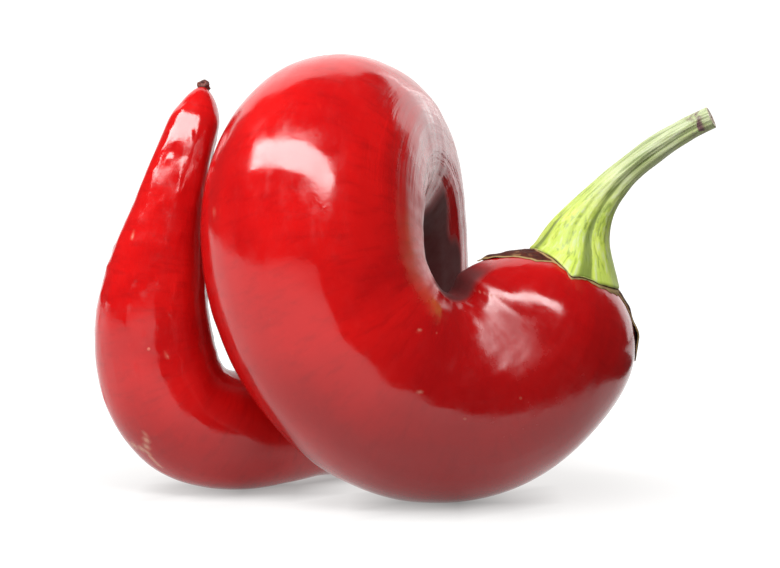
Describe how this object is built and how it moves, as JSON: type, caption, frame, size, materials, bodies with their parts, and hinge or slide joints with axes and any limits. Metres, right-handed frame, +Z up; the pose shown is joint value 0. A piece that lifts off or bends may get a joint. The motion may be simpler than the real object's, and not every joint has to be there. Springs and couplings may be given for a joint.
{
  "type": "chilli pepper",
  "caption": "Red chilli pepper grown in a coil, with an upright pointed tail, a ribbed green stem and a dried brown calyx, lying on its side.",
  "frame": {"origin": "on the ground, under the middle of the pepper's outline", "axes": "+Z up, -Y the front of the coil, +X towards the stem's cut end"},
  "size_m": [0.115, 0.0826, 0.0824],
  "materials": {
    "fruit_skin": "glossy, waxy red skin",
    "calyx": "matt, dried brown, green where it meets the stem",
    "stem": "satin, ribbed green to pale grey-green",
    "style": "matt, dried dark brown"
  },
  "bodies": {
    "root": {"fruit": "fruit_skin", "calyx": "calyx", "stem": "stem", "style_tip": "style"}
  },
  "joints": []
}
